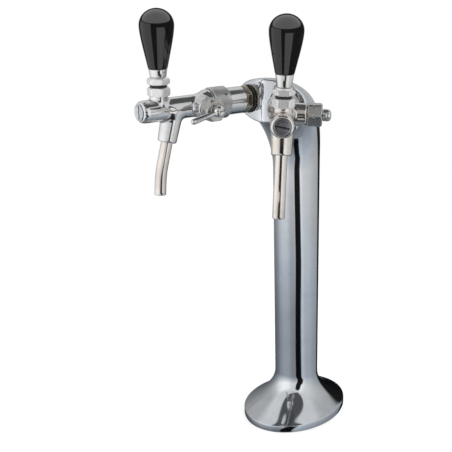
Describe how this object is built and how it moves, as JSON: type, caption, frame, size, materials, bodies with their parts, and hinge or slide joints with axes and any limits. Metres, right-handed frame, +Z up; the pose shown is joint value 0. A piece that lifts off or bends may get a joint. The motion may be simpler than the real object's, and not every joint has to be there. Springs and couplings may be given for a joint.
{
  "type": "beer tower dispenser",
  "caption": "Countertop beer tower: an oval chrome column with a flared foot and forward hood, carrying flow-control taps side by side.",
  "frame": {"origin": "centre of the foot's underside, on the counter's surface", "axes": "+Z up along the column; -Y towards the drinker, over whom the taps reach; +X to the right of a person who faces the taps"},
  "size_m": [0.1926, 0.2642, 0.4846],
  "materials": {
    "column_chrome": "mirror chrome plate over a casting, cool tint",
    "tap_chrome": "polished chrome plate",
    "spout_steel": "polished stainless tube, warm tint",
    "matt_nickel": "satin nickel plate",
    "brass": "turned brass, unplated inside the tower",
    "dark_nut": "plated brass nut, brownish",
    "steel": "stainless steel",
    "black_plastic": "high-gloss black moulding",
    "rubber": "black rubber",
    "clear_line": "food-grade plastic tube"
  },
  "bodies": {
    "tower": {"column_shell": "column_chrome", "base_plate": "steel", "base_gasket": "rubber", "base_screw_front_left": "steel", "base_screw_front_right": "steel", "base_screw_back_left": "steel", "base_screw_back_right": "steel", "left_shank": "brass", "left_face_washer": "rubber", "left_lock_nut": "dark_nut", "left_inner_nut": "brass", "left_tail_piece": "brass", "left_shank_sleeve": "tap_chrome", "left_coupling_nut": "matt_nickel", "left_tap_body": "tap_chrome", "left_front_cap": "tap_chrome", "left_spout_tube": "spout_steel", "left_bonnet_nut": "tap_chrome", "left_dust_ring": "rubber", "left_gland_nut": "matt_nickel", "left_beer_line": "clear_line", "right_shank": "brass", "right_face_washer": "rubber", "right_lock_nut": "dark_nut", "right_inner_nut": "brass", "right_tail_piece": "brass", "right_shank_sleeve": "tap_chrome", "right_coupling_nut": "matt_nickel", "right_tap_body": "tap_chrome", "right_front_cap": "tap_chrome", "right_spout_tube": "spout_steel", "right_bonnet_nut": "tap_chrome", "right_dust_ring": "rubber", "right_gland_nut": "matt_nickel", "right_beer_line": "clear_line"},
    "left_handle": {"left_handle_stem": "steel", "left_collar_nut": "tap_chrome", "left_handle_ferrule": "tap_chrome", "left_handle_knob": "black_plastic"},
    "right_handle": {"right_handle_stem": "steel", "right_collar_nut": "tap_chrome", "right_handle_ferrule": "tap_chrome", "right_handle_knob": "black_plastic"},
    "left_valve": {"left_valve_rod": "steel", "left_valve_seal": "rubber"},
    "right_valve": {"right_valve_rod": "steel", "right_valve_seal": "rubber"},
    "left_flow_control": {"left_flow_spindle": "steel", "left_flow_lever": "tap_chrome"},
    "right_flow_control": {"right_flow_spindle": "steel", "right_flow_lever": "tap_chrome"},
    "left_compensator": {"left_flow_cone": "black_plastic"},
    "right_compensator": {"right_flow_cone": "black_plastic"}
  },
  "joints": [
    {"name": "left_handle_tilt", "type": "hinge", "parent": "tower", "child": "left_handle", "pos_m": [-0.06949, -0.16617, 0.4005], "axis": [0.8926, -0.4509, 0], "range_deg": [-8, 20]},
    {"name": "left_valve_slide", "type": "slide", "parent": "tower", "child": "left_valve", "axis": [0.4509, 0.8926, 0], "range_m": [-0.0024, 0.0058]},
    {"name": "left_flow_turn", "type": "hinge", "parent": "tower", "child": "left_flow_control", "pos_m": [-0.04956, -0.12672, 0.384], "axis": [0.8926, -0.4509, 0], "range_deg": [-58, 32]},
    {"name": "left_compensator_slide", "type": "slide", "parent": "tower", "child": "left_compensator", "axis": [0.4509, 0.8926, 0], "range_m": [-0.0024, 0.0014]},
    {"name": "right_handle_tilt", "type": "hinge", "parent": "tower", "child": "right_handle", "pos_m": [0.07008, -0.16587, 0.40049], "axis": [0.8919, 0.4505, -0.0401], "range_deg": [-8, 20]},
    {"name": "right_valve_slide", "type": "slide", "parent": "tower", "child": "right_valve", "axis": [-0.4509, 0.8926, 0], "range_m": [-0.0024, 0.0058]},
    {"name": "right_flow_turn", "type": "hinge", "parent": "tower", "child": "right_flow_control", "pos_m": [0.04956, -0.12672, 0.384], "axis": [0.8919, 0.4505, -0.0401], "range_deg": [-35, 55]},
    {"name": "right_compensator_slide", "type": "slide", "parent": "tower", "child": "right_compensator", "axis": [-0.4509, 0.8926, 0], "range_m": [-0.0015, 0.0023]}
  ],
  "couplings": [
    {"joint": "left_valve_slide", "follows": "left_handle_tilt", "m_per_rad": 0.01616},
    {"joint": "right_valve_slide", "follows": "right_handle_tilt", "m_per_rad": 0.01616},
    {"joint": "left_compensator_slide", "follows": "left_flow_turn", "m_per_rad": 0.0023},
    {"joint": "right_compensator_slide", "follows": "right_flow_turn", "m_per_rad": 0.0023}
  ]
}
